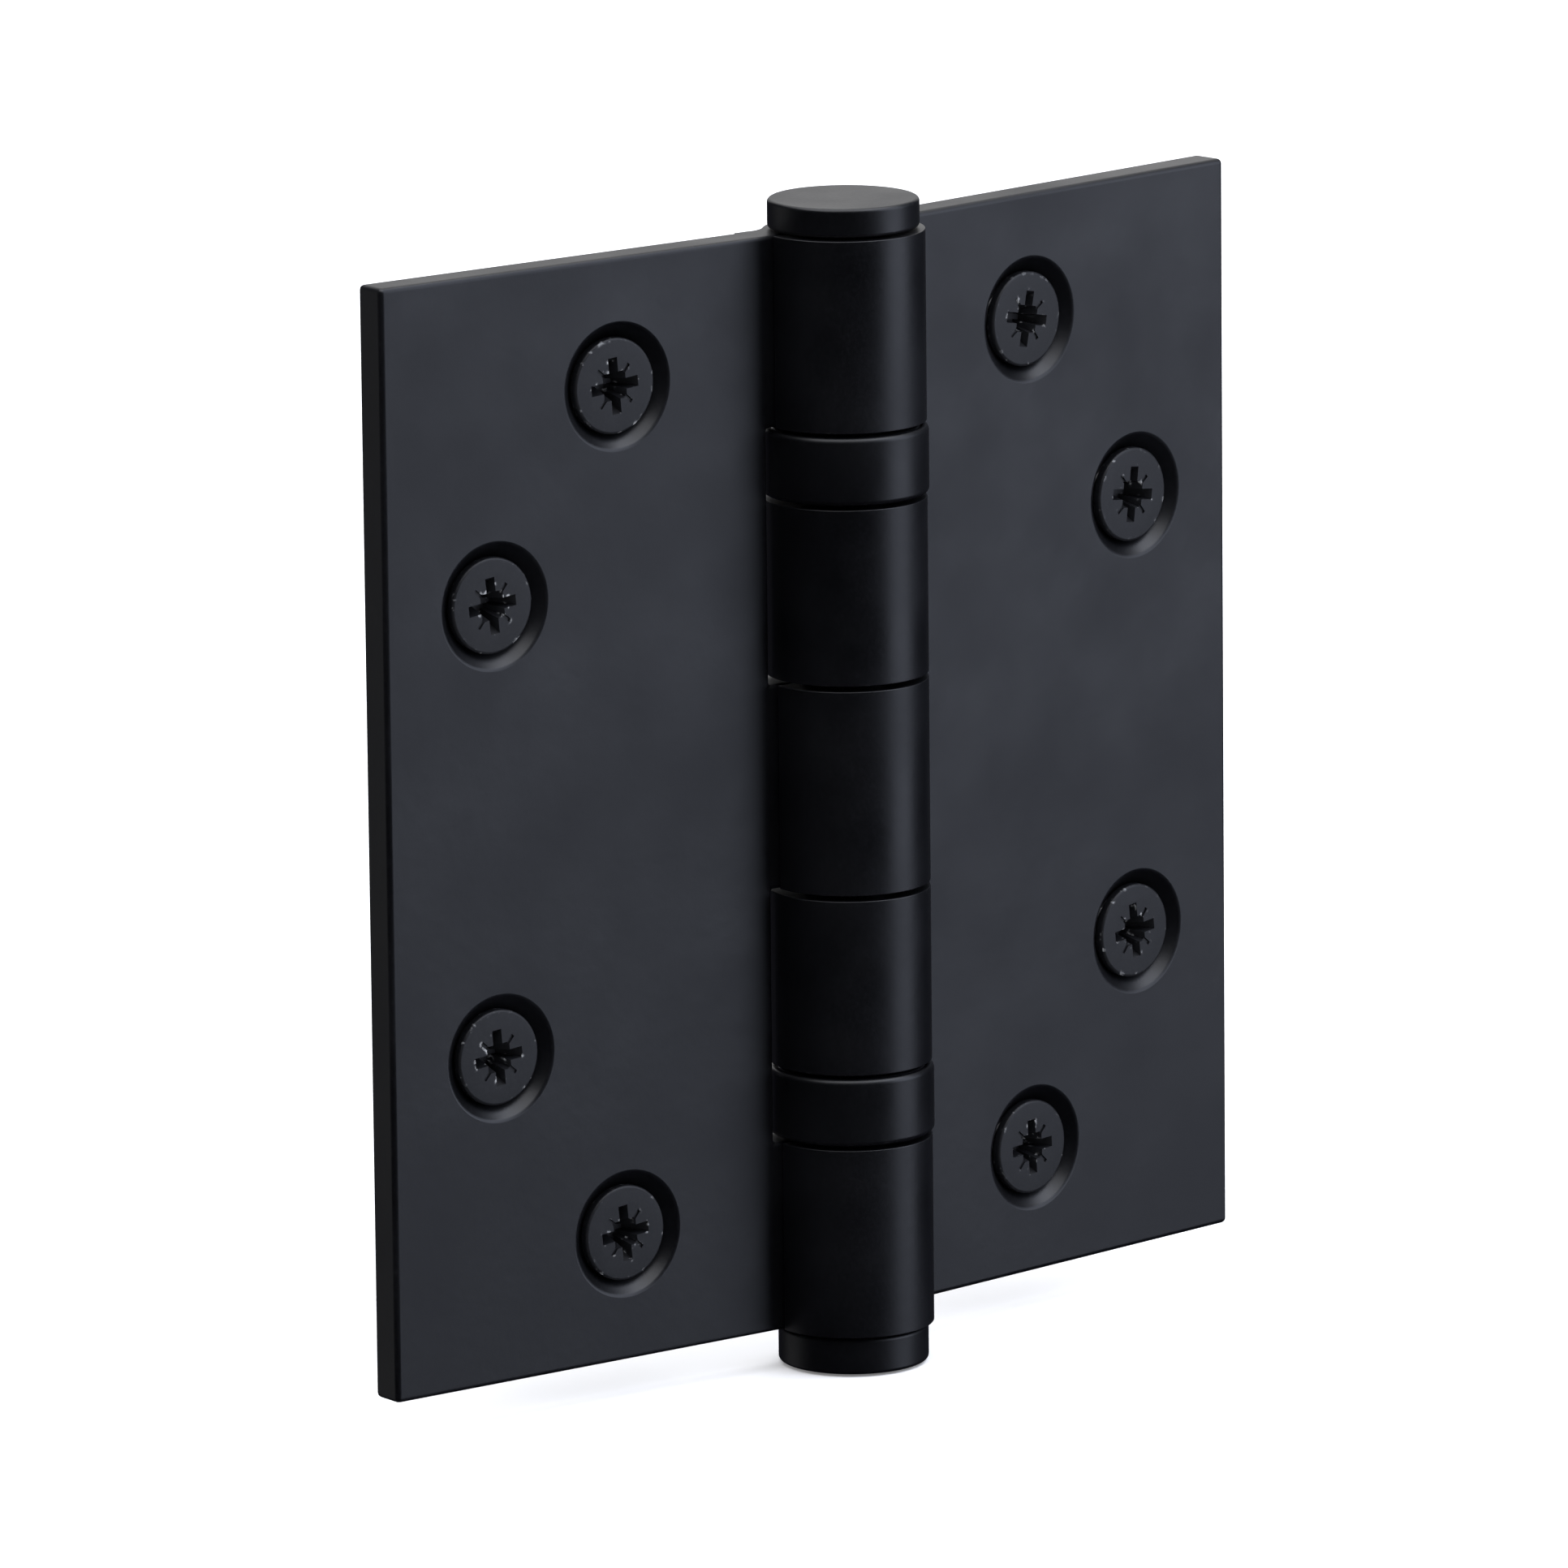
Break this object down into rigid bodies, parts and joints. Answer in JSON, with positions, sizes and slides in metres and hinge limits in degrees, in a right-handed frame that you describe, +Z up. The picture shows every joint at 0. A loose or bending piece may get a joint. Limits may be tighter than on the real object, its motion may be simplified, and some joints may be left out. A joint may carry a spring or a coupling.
{
  "type": "door hinge",
  "caption": "Black square-corner butt hinge with interleaved knuckles on a fixed pin, ball thrust bearings between them and countersunk screws, hanging a door on its frame.",
  "frame": {"origin": "middle of the frame leaf's back face, halfway up and halfway between its two columns of screws", "axes": "+Z up along the hinge pin, +Y out of the frame leaf's back face into the door frame, +X across the frame leaf towards the pin and the door leaf"},
  "size_m": [0.0885, 0.0281, 0.0946],
  "materials": {
    "leaf_coat": "satin black powder coat on steel",
    "pin_coat": "satin black coat on a turned steel pin and tip",
    "shell_coat": "satin black coat on a pressed steel ring",
    "screw_coat": "black passivated steel screw, satin",
    "race_steel": "hardened steel washer, ground",
    "cage_brass": "stamped brass sheet",
    "ball_steel": "polished bearing steel ball"
  },
  "bodies": {
    "frame_side": {"frame_leaf": "leaf_coat", "hinge_pin": "pin_coat", "bottom_tip": "pin_coat", "frame_screw_inner_top": "screw_coat", "frame_screw_inner_bottom": "screw_coat", "frame_screw_outer_top": "screw_coat", "frame_screw_outer_bottom": "screw_coat", "upper_bearing_shell": "shell_coat", "lower_bearing_shell": "shell_coat", "upper_frame_race": "race_steel", "lower_frame_race": "race_steel"},
    "door_side": {"door_leaf": "leaf_coat", "door_screw_inner_top": "screw_coat", "door_screw_inner_bottom": "screw_coat", "door_screw_outer_top": "screw_coat", "door_screw_outer_bottom": "screw_coat", "upper_door_race": "race_steel", "lower_door_race": "race_steel"},
    "upper_ball_ring": {"upper_ball_cage": "cage_brass", "upper_ball_1": "ball_steel", "upper_ball_2": "ball_steel", "upper_ball_3": "ball_steel", "upper_ball_4": "ball_steel", "upper_ball_5": "ball_steel", "upper_ball_6": "ball_steel", "upper_ball_7": "ball_steel", "upper_ball_8": "ball_steel"},
    "lower_ball_ring": {"lower_ball_cage": "cage_brass", "lower_ball_1": "ball_steel", "lower_ball_2": "ball_steel", "lower_ball_3": "ball_steel", "lower_ball_4": "ball_steel", "lower_ball_5": "ball_steel", "lower_ball_6": "ball_steel", "lower_ball_7": "ball_steel", "lower_ball_8": "ball_steel"}
  },
  "joints": [
    {"name": "door_swing", "type": "hinge", "parent": "frame_side", "child": "door_side", "pos_m": [0.0279, -0.0038, 0], "axis": [0, 0, 1], "range_deg": [-187.7, 82.3]},
    {"name": "upper_ball_roll", "type": "hinge", "parent": "frame_side", "child": "upper_ball_ring", "pos_m": [0.0279, -0.0038, 0.026], "axis": [0, 0, 1], "range_deg": [-94, 41.5]},
    {"name": "lower_ball_roll", "type": "hinge", "parent": "frame_side", "child": "lower_ball_ring", "pos_m": [0.0279, -0.0038, -0.026], "axis": [0, 0, 1], "range_deg": [-94, 41.5]}
  ],
  "couplings": [
    {"joint": "upper_ball_roll", "follows": "door_swing", "ratio": 0.5},
    {"joint": "lower_ball_roll", "follows": "door_swing", "ratio": 0.5}
  ]
}
